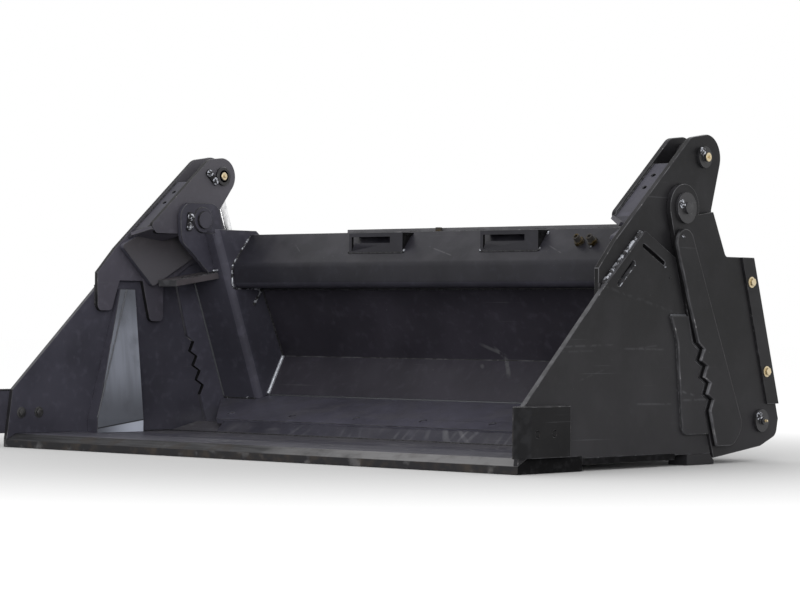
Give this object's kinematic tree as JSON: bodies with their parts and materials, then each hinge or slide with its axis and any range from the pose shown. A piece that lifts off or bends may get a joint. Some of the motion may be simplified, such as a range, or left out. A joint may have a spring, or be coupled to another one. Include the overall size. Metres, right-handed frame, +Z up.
{
  "type": "combination bucket",
  "caption": "Multi-purpose loader bucket whose clamshell front swings open on side pivots, driven by hydraulic cylinders in the end columns.",
  "frame": {"origin": "bottom centre of the closed bucket's bounding box, on the ground", "axes": "+X along the width to the right hand side as seen from the front cutting edge's left, +Y from the cutting edge back to the hitch, +Z up"},
  "size_m": [1.931, 1.127, 0.855],
  "materials": {
    "black_paint": "semi-gloss black paint",
    "worn_edge_paint": "black paint, worn at the edge",
    "machined_steel": "machined",
    "chrome_rod": "polished hard chrome",
    "bronze": "plain",
    "yellow_zinc": "yellow zinc plated"
  },
  "bodies": {
    "rear_frame": {"rear_floor_plate": "black_paint", "moldboard": "black_paint", "top_beam": "black_paint", "heel_beam": "black_paint", "column_caps": "black_paint", "base_pins": "machined_steel", "frame_bolts": "yellow_zinc", "step_plates": "black_paint", "hitch_ribs": "black_paint", "hydraulic_tubes": "machined_steel", "hydraulic_fittings": "bronze", "beam_bar": "black_paint", "rear_side_plate_left": "black_paint", "rear_side_plate_right": "black_paint", "strap_rib_left": "black_paint", "strap_rib_right": "black_paint", "end_plate_left": "black_paint", "end_plate_right": "black_paint", "pivot_ear_left": "black_paint", "pivot_ear_right": "black_paint", "pivot_pin_left": "machined_steel", "pivot_pin_right": "machined_steel", "cylinder_guard_left": "black_paint", "cylinder_guard_right": "black_paint", "hitch_plate_left": "black_paint", "hitch_plate_right": "black_paint"},
    "clamshell": {"front_cutting_edge": "worn_edge_paint", "floor_plate": "black_paint", "rear_lip": "black_paint", "skid_blocks": "black_paint", "arm_webs": "black_paint", "pivot_bushes": "bronze", "cutter_bolts": "black_paint", "rod_pin_keepers": "yellow_zinc", "side_plate_left": "black_paint", "side_plate_right": "black_paint", "tooth_doubler_left": "black_paint", "tooth_doubler_right": "black_paint", "arm_outer_plate_left": "black_paint", "arm_outer_plate_right": "black_paint", "arm_inner_plate_left": "black_paint", "arm_inner_plate_right": "black_paint", "pivot_hub_left": "black_paint", "pivot_hub_right": "black_paint", "rod_pin_left": "machined_steel", "rod_pin_right": "machined_steel", "corner_gusset_left": "black_paint", "corner_gusset_right": "black_paint", "side_cutter_left": "black_paint", "side_cutter_right": "black_paint"},
    "cylinder_left": {"barrel_left": "black_paint", "gland_left": "black_paint"},
    "rod_left": {"piston_rod_left": "chrome_rod", "rod_eye_left": "black_paint", "piston_left": "machined_steel"},
    "cylinder_right": {"barrel_right": "black_paint", "gland_right": "black_paint"},
    "rod_right": {"piston_rod_right": "chrome_rod", "rod_eye_right": "black_paint", "piston_right": "machined_steel"}
  },
  "joints": [
    {"name": "clamshell_pivot", "type": "hinge", "parent": "rear_frame", "child": "clamshell", "pos_m": [0, 0.12547, 0.66], "axis": [-1, 0, 0], "range_deg": [0, 45]},
    {"name": "cylinder_tilt_left", "type": "hinge", "parent": "rear_frame", "child": "cylinder_left", "pos_m": [-0.886, 0.46847, 0.108], "axis": [-1, 0, 0], "range_deg": [0, 3.3]},
    {"name": "rod_slide_left", "type": "slide", "parent": "cylinder_left", "child": "rod_left", "axis": [0, -0.3347, 0.9423], "range_m": [-0.13, 0]},
    {"name": "cylinder_tilt_right", "type": "hinge", "parent": "rear_frame", "child": "cylinder_right", "pos_m": [0.886, 0.46847, 0.108], "axis": [-1, 0, 0], "range_deg": [0, 3.3]},
    {"name": "rod_slide_right", "type": "slide", "parent": "cylinder_right", "child": "rod_right", "axis": [0, -0.3347, 0.9423], "range_m": [-0.13, 0]}
  ],
  "couplings": [
    {"joint": "cylinder_tilt_left", "follows": "clamshell_pivot", "ratio": 0.0702},
    {"joint": "rod_slide_left", "follows": "clamshell_pivot", "m_per_rad": -0.15667},
    {"joint": "cylinder_tilt_right", "follows": "clamshell_pivot", "ratio": 0.0702},
    {"joint": "rod_slide_right", "follows": "clamshell_pivot", "m_per_rad": -0.15667}
  ]
}
